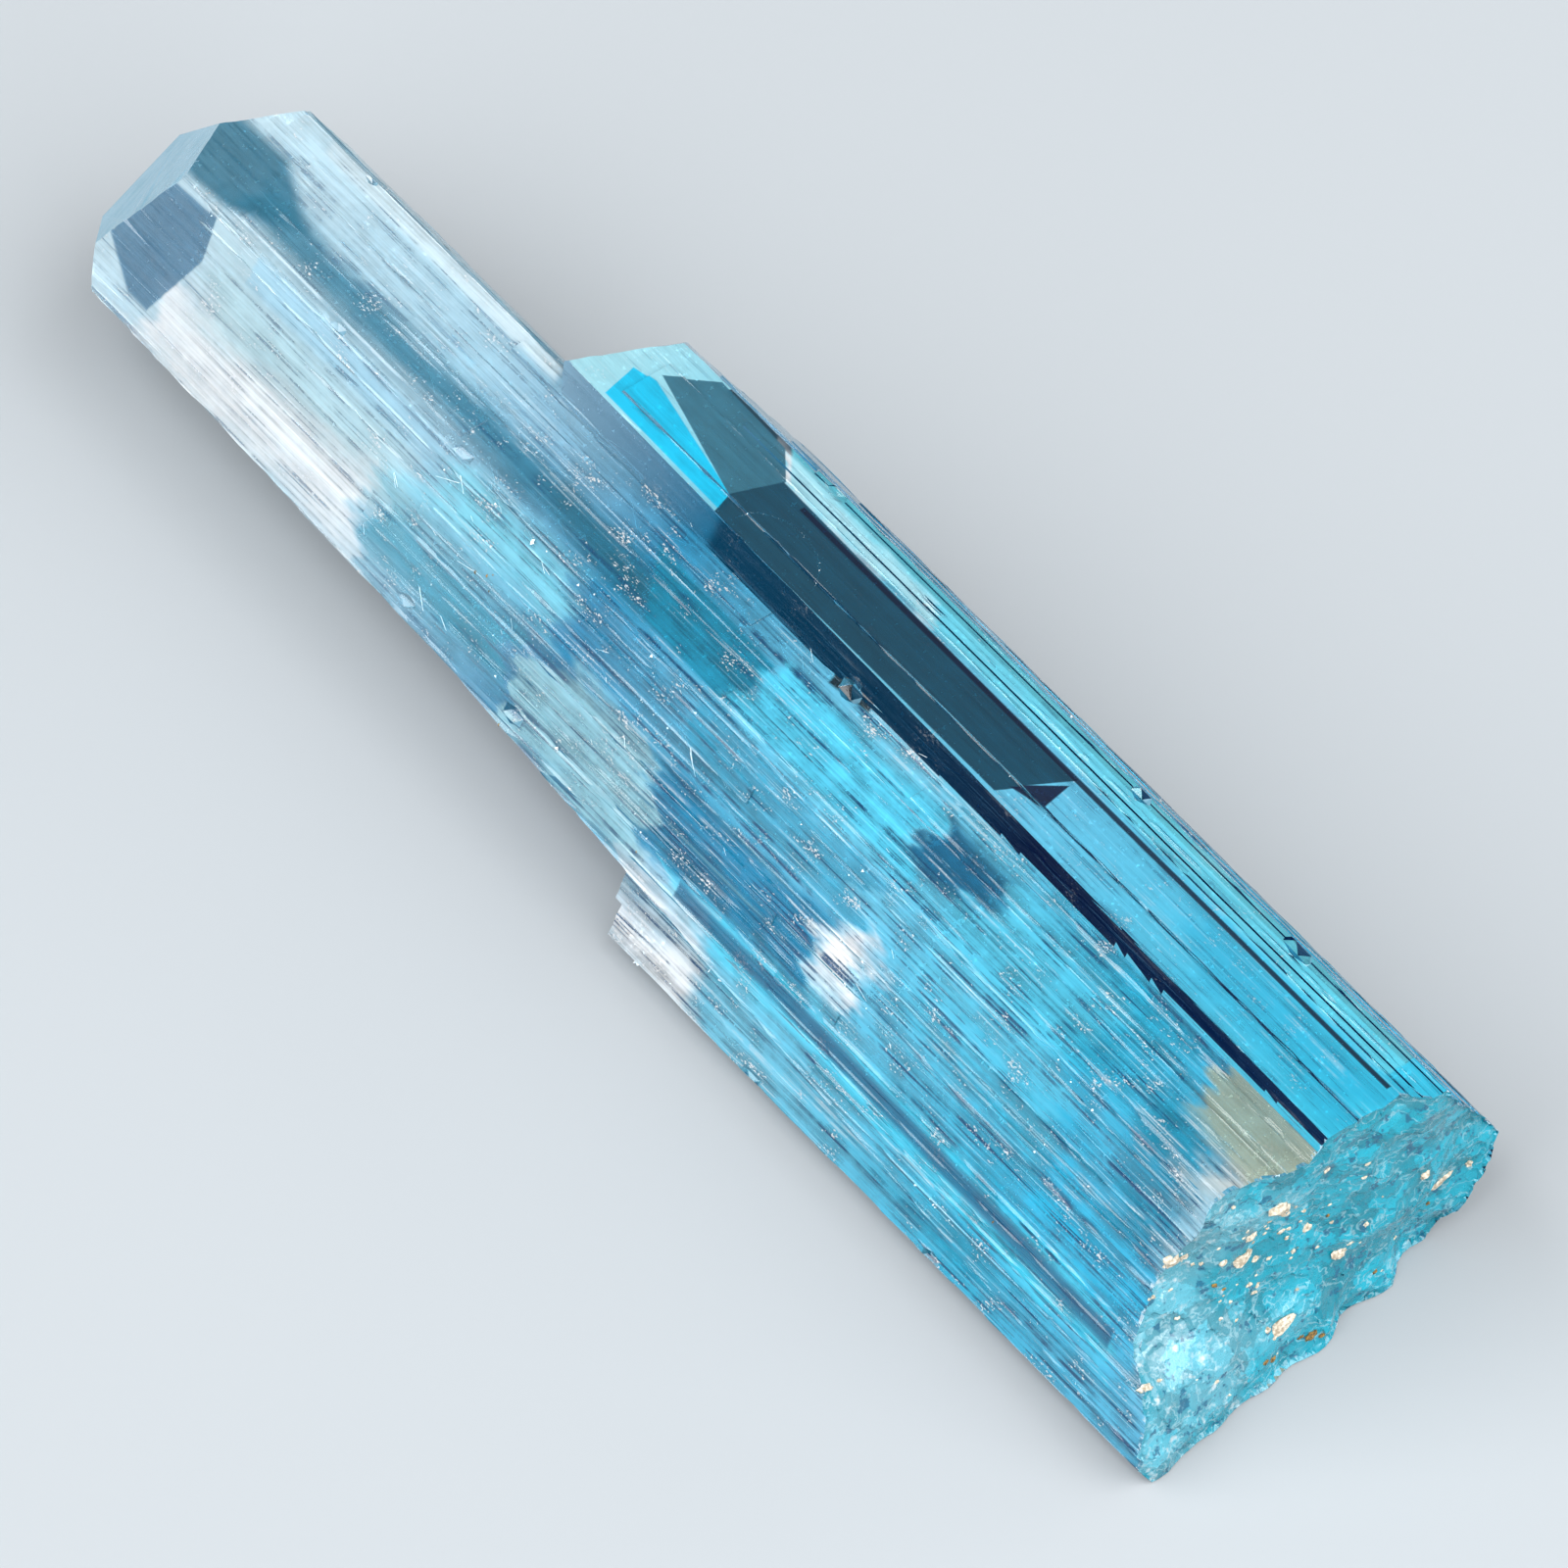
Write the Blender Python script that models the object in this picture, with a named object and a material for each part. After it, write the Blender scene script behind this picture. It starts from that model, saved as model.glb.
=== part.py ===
"""Aquamarine: three hexagonal prisms of beryl grown side by side as one piece, broken across at one end.

The prisms grew in parallel, so they share the directions of their faces. Their common axis lies along Y,
with the tips at +Y and the break at -Y, and the group lies on a prism face at Z = 0. The origin is the
middle of its footprint. The constants are in millimetres and degrees. The crystal is shaped in millimetres
too, because the exact solver loses small steps at a thousandth of that size, and is scaled to metres last.
"""

import math
import random

import bmesh
import bpy
from mathutils import Matrix, Vector, noise

MM = 0.001  # metres, for the last step

# Prism faces, as angles from +Z towards +X.
TOP, UPPER_RIGHT, LOWER_RIGHT, UNDER, LOWER_LEFT, UPPER_LEFT = 0, 60, 120, 180, 240, 300
# The bevels of a beryl tip stand over the prism's edges, this far from its axis.
BEVEL_SLOPE = 44.93

# Each prism: X and Z of its axis, Y of its flat end, its faces' distances from the axis, how many degrees a
# face leans out towards the break, and how far below the flat end each bevel meets its prism edge.
LONG_PRISM = {
    "axis": (-1.26, 4.80),
    "tip": 30.03,
    "faces": {TOP: 4.80, UPPER_RIGHT: 4.52, LOWER_RIGHT: 3.32, UNDER: 4.80, LOWER_LEFT: 4.75, UPPER_LEFT: 4.48},
    "leans": {LOWER_LEFT: 0.95},
    "bevels": {330: 3.49, 30: 3.62, 90: 3.52, 150: 3.49, 210: 3.30, 270: 1.98},
}
SIDE_PRISM = {
    "axis": (3.70, 4.80),
    "tip": 13.09,
    "faces": {TOP: 5.83, UPPER_RIGHT: 3.58, LOWER_RIGHT: 4.08, UNDER: 4.80, LOWER_LEFT: 5.90, UPPER_LEFT: 5.27},
    "leans": {UPPER_LEFT: 0.73},
    "bevels": {30: 3.06, 90: 5.20, 270: 4.84},
}

# Below this Y the long prism widens to the lower left, layer on layer.
SKIRT_START = 9.7
SKIRT_LEAN = 3.45
SKIRT_STEP = 0.05

SLIVER_TIPS = (-1.90, -1.49)  # the thin prism at the left ends in two terraces
SLIVER_REACH = 7.80  # its lower left face, from the long prism's axis
SLIVER_BACK = 0.61  # how far its upper left face stands behind the long prism's
SLIVER_TOP = 4.0  # it is rooted in the long prism up to this height
TERRACE_BACK = 1.05

BLANK = 200.0  # the cube that each convex piece is cut from
ON_PLANE = 1e-6
# Every piece is made this much too deep and too long, then all are trimmed together. No two pieces end in the
# same plane, which would leave the solver faces that coincide.
BELOW, BEHIND, STAGGER = 0.8, 4.0, 0.04
BREAK_Y = -28.47
BREAK_CELL = 0.36  # grid spacing of the break
# Where the break stands proud of its mean (negative) or short of it: X, Z and the amount along Y.
BREAK_LEVELS = (
    (-3.7, 9.6, 0.45), (-6.1, 6.5, 0.80), (0.5, 9.6, -0.30), (2.9, 10.7, -0.35), (4.4, 10.6, -1.30),
    (8.0, 4.3, 0.35), (6.7, 2.1, 0.25), (5.6, 0.0, 0.80), (2.6, 0.0, 0.05), (-0.5, 0.0, -0.55),
    (-3.0, 0.0, -0.80), (-5.2, 0.0, -1.20), (-7.9, 0.9, -1.35), (-1.0, 5.0, 0.25), (3.6, 5.5, -0.50),
)
SCALLOP_WIDE, SCALLOP_DEPTH = 2.4, 0.42  # shell-shaped hollows of the break
CHIP_WIDE, CHIP_DEPTH = 0.9, 0.12

# Growth ledges: face, place across it from the axis, width, first and last Y, height.
LONG_LEDGES = (
    (TOP, 1.02, 0.90, 24.4, -0.2, 0.06),
    (TOP, -1.45, 1.20, 24.0, 12.0, 0.05),
    (TOP, -0.30, 0.55, 17.0, -40.0, 0.05),
    (TOP, 1.85, 0.60, 14.0, -40.0, 0.07),
    (TOP, -1.70, 0.70, -2.0, -40.0, 0.06),
    (TOP, 0.60, 0.80, -9.0, -40.0, 0.05),
    (UPPER_RIGHT, -1.90, 0.40, 27.0, -40.0, 0.06),
    (UPPER_LEFT, 2.45, 0.60, 25.0, -40.0, 0.05),
    (UPPER_LEFT, 1.45, 0.70, 18.0, -5.0, 0.06),
    (UPPER_LEFT, 0.30, 0.60, 12.0, -40.0, 0.06),
    (UPPER_LEFT, -1.10, 0.90, 14.0, -8.0, 0.06),
    (UPPER_LEFT, -2.30, 0.45, 9.0, -12.0, 0.07),
    (UPPER_LEFT, -0.70, 0.80, -6.0, -40.0, 0.07),
    (UPPER_LEFT, -3.10, 0.70, -9.0, -40.0, 0.07),
    (UPPER_LEFT, -4.40, 0.50, -12.0, -40.0, 0.08),
)
SIDE_LEDGES = (
    (TOP, -1.15, 2.00, 9.6, -40.0, 0.09),
    (TOP, 0.20, 0.28, 6.0, -40.0, 0.06),
    (TOP, 0.80, 0.22, 3.0, -40.0, 0.05),
    (UPPER_RIGHT, -3.60, 0.60, 8.6, -40.0, 0.07),
    (UPPER_RIGHT, -1.60, 1.10, 6.0, -40.0, 0.08),
    (UPPER_RIGHT, 0.90, 0.80, 4.0, -40.0, 0.06),
)
LEDGE_ROOT = 0.35  # how deep a ledge is rooted in its face
LEDGE_FRONT = 55.0
# Faces that look down: prism, face, lowest and highest place across it, first and last Y.
HIDDEN_FACES = (
    (SIDE_PRISM, LOWER_RIGHT, -1.3, 2.8, 5.0, -40.0),
    (LONG_PRISM, LOWER_LEFT, -2.2, 1.8, 25.0, 2.0),
    (LONG_PRISM, LOWER_RIGHT, -2.7, 3.0, 25.0, 14.0),
)
HIDDEN_LEDGES = 5  # on each of them
SEED = 11

# Chips out of the edges: X, Y, Z and size.
CHIPS = (
    (-3.66, 11.4, 9.62, 0.30), (-3.62, 18.2, 9.62, 0.22), (1.14, 22.6, 9.66, 0.20), (0.15, -4.4, 9.66, 0.40),
    (4.42, 1.8, 10.74, 0.24), (4.44, -14.2, 10.74, 0.30), (8.02, -3.8, 4.32, 0.26), (-6.60, 4.9, 4.52, 0.34),
    (-6.62, 10.8, 4.80, 0.30), (-8.00, -9.5, 0.95, 0.26), (-7.98, -19.0, 0.95, 0.30), (4.40, -22.3, 10.7, 0.34),
)


def clear_scene():
    for thing in list(bpy.data.objects):
        bpy.data.objects.remove(thing, do_unlink=True)


def beryl():
    material = bpy.data.materials.new("pale blue beryl")
    material.use_nodes = True
    shader = material.node_tree.nodes["Principled BSDF"]
    shader.inputs["Base Color"].default_value = (0.22, 0.52, 0.68, 1.0)
    shader.inputs["Roughness"].default_value = 0.08
    shader.inputs["Metallic"].default_value = 0.0
    shader.inputs["IOR"].default_value = 1.577
    shader.inputs["Transmission Weight"].default_value = 0.9
    return material


def radial(angle):
    """Unit vector across the axis, at an angle from +Z towards +X."""
    return Vector((math.sin(math.radians(angle)), 0.0, math.cos(math.radians(angle))))


def leaning(angle, slope):
    """Unit vector at an angle round the axis, turned towards the tip by slope."""
    return radial(angle) * math.cos(math.radians(slope)) + Vector((0.0, math.sin(math.radians(slope)), 0.0))


def on_axis(prism, y):
    return Vector((prism["axis"][0], y, prism["axis"][1]))


def edge_point(prism, angle, y):
    """Where the two prism faces beside a bevel's angle meet, at height y."""
    before, after = radial(angle - 30), radial(angle + 30)
    a, b = prism["faces"][(angle - 30) % 360], prism["faces"][(angle + 30) % 360]
    span = before.x * after.z - before.z * after.x
    across = Vector((a * after.z - b * before.z, 0.0, b * before.x - a * after.x)) / span
    return on_axis(prism, y) + across


def hidden_ends(number):
    """The planes that end piece number below Z = 0 and behind the break."""
    more = STAGGER * number
    return [
        (Vector((0.0, BREAK_Y - BEHIND - more, 0.0)), Vector((0.0, -1.0, 0.0))),
        (Vector((0.0, 0.0, -BELOW - more)), Vector((0.0, 0.0, -1.0))),
    ]


def convex_solid(planes, number):
    """A cube cut down to what lies behind every plane, each given as a point on it and its outward normal."""
    bm = bmesh.new()
    bmesh.ops.create_cube(bm, size=BLANK)
    for point, normal in planes + hidden_ends(number):
        everything = bm.verts[:] + bm.edges[:] + bm.faces[:]
        cut = bmesh.ops.bisect_plane(
            bm, geom=everything, dist=ON_PLANE, plane_co=point, plane_no=normal, clear_outer=True
        )
        rim = [part for part in cut["geom_cut"] if isinstance(part, bmesh.types.BMEdge)]
        if rim:
            bmesh.ops.contextual_create(bm, geom=rim)
    bmesh.ops.recalc_face_normals(bm, faces=bm.faces[:])
    return bm


def as_object(bm, name, collection):
    mesh = bpy.data.meshes.new(name)
    bm.to_mesh(mesh)
    bm.free()
    made = bpy.data.objects.new(name, mesh)
    collection.objects.link(made)
    return made


def side_planes(prism, faces=None, leans=None, foot=None):
    """The sides of one prism. A leaning face has its distance at height foot, or else at the tip."""
    foot = prism["tip"] if foot is None else foot
    planes = []
    for angle, distance in (faces or prism["faces"]).items():
        if angle != UNDER:
            lean = (leans or prism["leans"]).get(angle, 0.0)
            planes.append((on_axis(prism, foot) + radial(angle) * distance, leaning(angle, lean)))
    return planes


def tip_planes(prism):
    """The flat end of a prism and its bevels, each meeting its prism edge some way below the flat end."""
    planes = [(on_axis(prism, prism["tip"]), Vector((0.0, 1.0, 0.0)))]
    for angle, drop in prism["bevels"].items():
        planes.append((edge_point(prism, angle, prism["tip"] - drop), leaning(angle, 90.0 - BEVEL_SLOPE)))
    return planes


def whole_prism(prism):
    return side_planes(prism) + tip_planes(prism)


def skirt():
    """The layers that widen the long prism's lower left side towards the break."""
    faces = {angle: distance - SKIRT_STEP for angle, distance in LONG_PRISM["faces"].items()}
    above = LONG_PRISM["tip"] - SKIRT_START
    widened = math.tan(math.radians(LONG_PRISM["leans"][LOWER_LEFT])) * above
    faces[LOWER_LEFT] = LONG_PRISM["faces"][LOWER_LEFT] + widened
    planes = side_planes(LONG_PRISM, faces, {LOWER_LEFT: SKIRT_LEAN}, SKIRT_START)
    return planes + [(on_axis(LONG_PRISM, SKIRT_START + 1.0), Vector((0.0, 1.0, 0.0)))]


def sliver(tip, back):
    """One layer of the thin prism at the lower left, ending in a flat terrace."""
    middle = on_axis(LONG_PRISM, 0.0)
    shoulder = LONG_PRISM["faces"][UPPER_LEFT] - SLIVER_BACK
    return [
        (middle + radial(UPPER_LEFT) * shoulder, radial(UPPER_LEFT)),
        (middle + radial(LOWER_LEFT) * (SLIVER_REACH - back), radial(LOWER_LEFT)),
        (Vector((0.0, 0.0, SLIVER_TOP)), radial(TOP)),
        (middle, radial(90)),
        (Vector((0.0, tip, 0.0)), Vector((0.0, 1.0, 0.0))),
    ]


def ledge(prism, face, across, width, first, last, height):
    """A long low step on a prism face. Its sides follow the neighbouring prism faces, its tip a bevel."""
    outward = leaning(face, prism["leans"].get(face, 0.0))
    ground = on_axis(prism, prism["tip"]) + radial(face) * prism["faces"][face]
    middle = ground + radial(face + 90) * across
    half = radial(face + 90) * (width / 2)
    return tip_planes(prism) + [
        (ground + radial(face) * height, outward),
        (ground - radial(face) * LEDGE_ROOT, -outward),
        (middle + half, radial(face + 60)),
        (middle - half, radial(face - 60)),
        (Vector((middle.x, first, middle.z)), leaning(face, LEDGE_FRONT)),
        (Vector((0.0, last, 0.0)), Vector((0.0, -1.0, 0.0))),
    ]


def ledges():
    """Every growth ledge: those chosen for the upper faces, and a seeded spread on the ones that look down."""
    made = [ledge(LONG_PRISM, *row) for row in LONG_LEDGES]
    made += [ledge(SIDE_PRISM, *row) for row in SIDE_LEDGES]
    draw = random.Random(SEED)
    for prism, face, low, high, first, last in HIDDEN_FACES:
        for count in range(HIDDEN_LEDGES):
            across = low + (high - low) * (count + draw.uniform(0.2, 0.8)) / HIDDEN_LEDGES
            width, height = draw.uniform(0.35, 0.75), draw.uniform(0.05, 0.09)
            starts = first - draw.uniform(0.0, 0.5) * (first - last)
            made.append(ledge(prism, face, across, width, starts, last, height))
    return made


def level_between(x, z):
    """The slow rise and fall of the break, blended from BREAK_LEVELS by distance."""
    total = weights = 0.0
    for level_x, level_z, level in BREAK_LEVELS:
        weight = 1.0 / ((x - level_x) ** 2 + (z - level_z) ** 2 + 0.3) ** 2
        total += weight * level
        weights += weight
    return total / weights


def hollows(x, z, wide, depth, slot):
    """Rounded hollows that meet in sharp ridges, as beryl breaks."""
    distances, _ = noise.voronoi(Vector((x / wide, slot, z / wide)))
    return depth * (0.3 - min(distances[0], 1.0) ** 2)


def break_height(x, z):
    bent = 0.35 * noise.noise(Vector((x * 0.4, 3.0, z * 0.4)))
    large = hollows(x + bent, z, SCALLOP_WIDE, SCALLOP_DEPTH, 1.7)
    small = hollows(x, z + bent, CHIP_WIDE, CHIP_DEPTH, 6.1)
    return BREAK_Y + level_between(x, z) + large + small


def break_cutter(collection):
    """A block whose front is the rough break, for taking off everything behind it."""
    bm = bmesh.new()
    columns, rows = 64, 44
    bmesh.ops.create_grid(bm, x_segments=columns, y_segments=rows, size=0.5)
    for vert in bm.verts:
        x = vert.co.x * columns * BREAK_CELL
        z = vert.co.y * rows * BREAK_CELL + 4.6
        vert.co = Vector((x, break_height(x, z), z))
    sheet = bmesh.ops.extrude_face_region(bm, geom=bm.faces[:])
    for part in sheet["geom"]:
        if isinstance(part, bmesh.types.BMVert):
            part.co.y = BREAK_Y - 12.0
    bmesh.ops.recalc_face_normals(bm, faces=bm.faces[:])
    return as_object(bm, "break_cutter", collection)


def chip_cutter(number, collection):
    """A small faceted lump that takes one chip out of an edge."""
    x, y, z, size = CHIPS[number]
    draw = random.Random(SEED + number)
    bm = bmesh.new()
    bmesh.ops.create_icosphere(bm, subdivisions=1, radius=size)
    stretch = draw.uniform(1.4, 2.4)
    for vert in bm.verts:
        push = draw.uniform(0.8, 1.2)
        vert.co = Vector((vert.co.x * push + x, vert.co.y * stretch + y, vert.co.z * push + z))
    return as_object(bm, f"chip_cutter_{number + 1}", collection)


def boolean(target, operation, tool):
    change = target.modifiers.new(f"{operation.lower()} {tool.name}", "BOOLEAN")
    change.operation = operation
    change.solver = "EXACT"
    change.object = tool
    tool.hide_render = True
    tool.display_type = "WIRE"


def settle(target):
    """Replaces a mesh by what its modifiers make of it."""
    graph = bpy.context.evaluated_depsgraph_get()
    made = bpy.data.meshes.new_from_object(target.evaluated_get(graph))
    target.modifiers.clear()
    target.data = made


def trim_flat(target):
    """Cuts the group at Z = 0, the one prism face that it lies on."""
    bm = bmesh.new()
    bm.from_mesh(target.data)
    everything = bm.verts[:] + bm.edges[:] + bm.faces[:]
    cut = bmesh.ops.bisect_plane(
        bm, geom=everything, dist=ON_PLANE, plane_co=(0, 0, 0), plane_no=(0, 0, -1), clear_outer=True
    )
    rim = [part for part in cut["geom_cut"] if isinstance(part, bmesh.types.BMEdge)]
    bmesh.ops.triangle_fill(bm, edges=rim, use_beauty=True)
    bmesh.ops.recalc_face_normals(bm, faces=bm.faces[:])
    bm.to_mesh(target.data)
    bm.free()


def build():
    clear_scene()
    parts = bpy.data.collections.new("aquamarine")
    cutters = bpy.data.collections.new("cutters")
    for collection in (parts, cutters):
        bpy.context.scene.collection.children.link(collection)

    crystal = as_object(convex_solid(whole_prism(LONG_PRISM), 0), "aquamarine_crystal", parts)
    grown = [whole_prism(SIDE_PRISM), skirt()]
    grown += [sliver(tip, back) for tip, back in zip(SLIVER_TIPS, (0.0, TERRACE_BACK))]
    grown += ledges()
    for number, planes in enumerate(grown, start=1):
        shape = convex_solid(planes, number)
        boolean(crystal, "UNION", as_object(shape, f"growth_{number}", cutters))
    boolean(crystal, "DIFFERENCE", break_cutter(cutters))
    for number in range(len(CHIPS)):
        boolean(crystal, "DIFFERENCE", chip_cutter(number, cutters))
    bpy.context.view_layer.update()
    settle(crystal)
    trim_flat(crystal)
    for thing in bpy.data.objects:
        thing.data.transform(Matrix.Scale(MM, 4))
    crystal.data.materials.clear()
    crystal.data.materials.append(beryl())


build()
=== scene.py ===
# %% [markdown]
# # An aquamarine crystal group
# Aquamarine is beryl that a trace of iron colours pale blue. It grows as six-sided prisms with flat ends.
# This group is about 60 mm long: one long prism, a second one grown into its right side, a thin one low on
# the left, and a rough break at the near end, where the group was taken off its rock. It lies on one prism
# face, with the tips towards +Y.
#
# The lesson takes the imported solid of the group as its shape, cuts its faces finely enough to carry growth
# lines and a broken surface, and gives it the glass, the milky zones and the small inclusions of the stone.

import math
import random

import bmesh
import bpy
from mathutils import Matrix, Vector, noise
from mathutils.bvhtree import BVHTree


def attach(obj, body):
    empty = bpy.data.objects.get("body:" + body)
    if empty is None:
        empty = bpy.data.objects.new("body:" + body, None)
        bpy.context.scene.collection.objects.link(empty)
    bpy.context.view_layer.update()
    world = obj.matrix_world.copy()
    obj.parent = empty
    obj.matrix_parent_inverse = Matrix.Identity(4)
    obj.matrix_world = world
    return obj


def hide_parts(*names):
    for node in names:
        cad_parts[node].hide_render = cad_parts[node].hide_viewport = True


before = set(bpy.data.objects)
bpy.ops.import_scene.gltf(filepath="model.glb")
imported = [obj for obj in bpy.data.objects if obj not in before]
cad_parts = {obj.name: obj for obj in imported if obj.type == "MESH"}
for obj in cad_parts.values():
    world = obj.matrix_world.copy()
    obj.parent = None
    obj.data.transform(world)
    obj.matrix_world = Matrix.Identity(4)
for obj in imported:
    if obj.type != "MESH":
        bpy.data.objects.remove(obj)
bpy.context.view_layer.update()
crystal_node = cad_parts["aquamarine_crystal"]

MM = 0.001  # the scene is in metres, and every number below is in millimetres


# %% [markdown]
# ## Two helpers
# Colours are written as the hex codes of a paint chart, which are sRGB, while a shader counts in linear
# light. One function converts them. A second one adds a shader node: names in small letters are the node's
# own settings, capitals are its inputs with _ for a space, and i0, i1 and so on are inputs by number.


# %% colours
def srgb(code, alpha=1.0):
    """A hex colour as the linear numbers that a shader wants."""
    parts = [int(code.lstrip("#")[i : i + 2], 16) / 255 for i in (0, 2, 4)]
    return [p / 12.92 if p <= 0.04045 else ((p + 0.055) / 1.055) ** 2.4 for p in parts] + [alpha]


print("the blue of a deep part, linear:", [round(n, 3) for n in srgb("#1794B8")[:3]])


# %% nodes
def add(tree, kind, out=0, **given):
    """Adds a node, sets or links what is given, and returns one of its outputs."""
    node = tree.nodes.new("ShaderNode" + kind)
    for name, value in given.items():
        if name[0].islower() and not name[1:].isdigit():
            setattr(node, name, value)
            continue
        socket = node.inputs[int(name[1:])] if name[1:].isdigit() else node.inputs[name.replace("_", " ")]
        if isinstance(value, bpy.types.NodeSocket):
            tree.links.new(value, socket)
        else:
            socket.default_value = value
    return node.outputs[out]


# %% [markdown]
# ## Camera
# A 500 mm lens from 0.7 m away keeps the long edges of the prism nearly parallel, as in a close study of a
# mineral. The view comes from the upper left of the near end, 51 degrees above the table, and is turned so
# that the group lies from the top left to the bottom right of the frame.

# %% camera
target = Vector((-1.51, -3.01, 4.80)) * MM
toward = Vector((-0.3861, -0.4969, 0.7771)).normalized()
lens = bpy.data.cameras.new("camera")
lens.lens = 500
lens.sensor_width = 36
lens.clip_start = 0.01
camera = bpy.data.objects.new("camera", lens)
camera.location = target + toward * 0.711
camera.rotation_euler = toward.to_track_quat("Z", "Y").to_euler()
bpy.context.scene.collection.objects.link(camera)
bpy.context.scene.camera = camera
print("camera at", [round(n, 3) for n in camera.location])

# %% [markdown]
# ## Floor
# A plain pale card. Glass that shares a face with the floor would swallow the light that should enter from
# below, so the card lies a twentieth of a millimetre lower, which the eye can't see.

# %% floor
FLOOR_GAP = 0.05 * MM
bm = bmesh.new()
bmesh.ops.create_grid(bm, x_segments=1, y_segments=1, size=1.5)  # metres to each side
mesh = bpy.data.meshes.new("floor")
bm.to_mesh(mesh)
bm.free()
floor = bpy.data.objects.new("floor", mesh)
floor.location.z = -FLOOR_GAP
bpy.context.scene.collection.objects.link(floor)
card = bpy.data.materials.new("pale grey card")
card.use_nodes = True
card.node_tree.nodes["Principled BSDF"].inputs["Base Color"].default_value = srgb("#8A8F93")
card.node_tree.nodes["Principled BSDF"].inputs["Roughness"].default_value = 0.9
floor.data.materials.append(card)
print("floor", FLOOR_GAP / MM, "mm below the crystal")

# %% [markdown]
# ## Light
# Clear stones are lit by large soft boxes at the sides. The upper faces mirror the part of the room that lies
# behind and above them, so that part is left dim and the eye looks into the stone, not at a reflection.

# %% light
world = bpy.data.worlds.new("dim white room")
world.use_nodes = True
world.node_tree.nodes["Background"].inputs["Color"].default_value = srgb("#FFFFFF")
world.node_tree.nodes["Background"].inputs["Strength"].default_value = 0.30
bpy.context.scene.world = world


def softbox(name, direction, distance, size, watts):
    """A square soft light that looks at the crystal from this direction."""
    light = bpy.data.lights.new(name, "AREA")
    light.shape = "SQUARE"
    light.size = size
    light.energy = watts
    lamp = bpy.data.objects.new(name, light)
    away = Vector(direction).normalized()
    lamp.location = target + away * distance
    lamp.rotation_euler = away.to_track_quat("Z", "Y").to_euler()
    bpy.context.scene.collection.objects.link(lamp)


softbox("front", (0.15, -0.75, 0.75), 0.6, 0.8, 10.0)
softbox("key", (-0.75, 0.15, 0.75), 0.6, 0.8, 9.0)
softbox("side", (0.95, -0.25, 0.25), 0.6, 0.4, 1.2)

scene = bpy.context.scene
scene.view_settings.view_transform = "Standard"
scene.cycles.max_bounces = 6  # light passes a few inner faces of the stone before it is lost
scene.cycles.transmission_bounces = 6
scene.cycles.glossy_bounces = 2
scene.cycles.diffuse_bounces = 2

# %% [markdown]
# ## The crystal, cut finely
# Prism faces of beryl carry fine lines along their length: the crystal grew in thin layers, and the edges of
# the layers stand a few hundredths of a millimetre high. To carry them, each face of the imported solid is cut
# into strips about an eighth of a millimetre wide, at uneven places, because real growth lines are uneven.
# All that follows only moves corners inward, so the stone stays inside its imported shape.

# %% directions of the prism faces
TOP, UPPER_RIGHT, LOWER_RIGHT, LOWER_LEFT, UPPER_LEFT = 0, 60, 120, 240, 300
STRIP_WIDTH = 0.13
STRIP_LENGTH = 1.1
BREAK_GRID = 0.13


def radial(angle):
    """The outward direction of a prism face, with 0 degrees up and 90 degrees to the right."""
    return Vector((math.sin(math.radians(angle)), 0.0, math.cos(math.radians(angle))))


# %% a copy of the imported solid
def cad_copy():
    """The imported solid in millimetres, with its flat triangles joined into whole faces."""
    bm = bmesh.new()
    bm.from_mesh(crystal_node.data)
    bmesh.ops.scale(bm, vec=(1 / MM,) * 3, verts=bm.verts)
    bmesh.ops.remove_doubles(bm, verts=bm.verts, dist=0.0004)
    flat = math.radians(0.25)
    bmesh.ops.dissolve_limit(
        bm, angle_limit=flat, verts=bm.verts[:], edges=bm.edges[:], use_dissolve_boundaries=False
    )
    bm.normal_update()
    return bm


# %% cutting faces into strips
def slice_faces(bm, faces, normal, places):
    """Cuts these faces by parallel planes and returns all the faces that they became."""
    kept = set(faces)
    for place in places:
        crossing = []
        for face in kept:
            sides = [vert.co.dot(normal) for vert in face.verts]
            if min(sides) < place - 1e-4 and max(sides) > place + 1e-4:
                crossing.append(face)
        if not crossing:
            continue
        geom = set(crossing)
        for face in crossing:
            geom.update(face.edges)
            geom.update(face.verts)
        kept.difference_update(crossing)
        cut = bmesh.ops.bisect_plane(
            bm, geom=list(geom), dist=1e-5, plane_co=normal * place, plane_no=normal
        )
        kept.update(part for part in cut["geom"] if isinstance(part, bmesh.types.BMFace))
    return kept


def spread(low, high, step, draw):
    """Uneven places from low to high, a step apart on average."""
    places, at = [], low + step * draw.random()
    while at < high:
        places.append(at)
        at += step * draw.uniform(0.45, 1.55)
    return places


draw = random.Random(4)
bm = cad_copy()
print("copy:", len(bm.faces), "faces,", sum(not e.is_manifold for e in bm.edges), "open edges")
prism_faces = {}
for angle in (TOP, UPPER_RIGHT, LOWER_RIGHT, LOWER_LEFT, UPPER_LEFT):
    out, across = radial(angle), radial(angle + 90)
    faces = [face for face in bm.faces if face.normal.dot(out) > 0.985]
    spans = [vert.co.dot(across) for face in faces for vert in face.verts]
    faces = slice_faces(bm, faces, across, spread(min(spans), max(spans), STRIP_WIDTH, draw))
    faces = slice_faces(bm, faces, Vector((0, 1, 0)), spread(-29.5, 29.5, STRIP_LENGTH, draw))
    prism_faces[angle] = faces
    print("prism face at", angle, "degrees:", len(faces), "pieces")
rough = [face for face in bm.faces if face.normal.y < -0.3 and face.calc_center_median().y < -24.0]
rough = slice_faces(bm, rough, Vector((1, 0, 0)), spread(-8.2, 8.2, BREAK_GRID, draw))
rough = slice_faces(bm, rough, Vector((0, 0, 1)), spread(0.1, 10.8, BREAK_GRID, draw))
print("break:", len(rough), "pieces")

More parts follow.
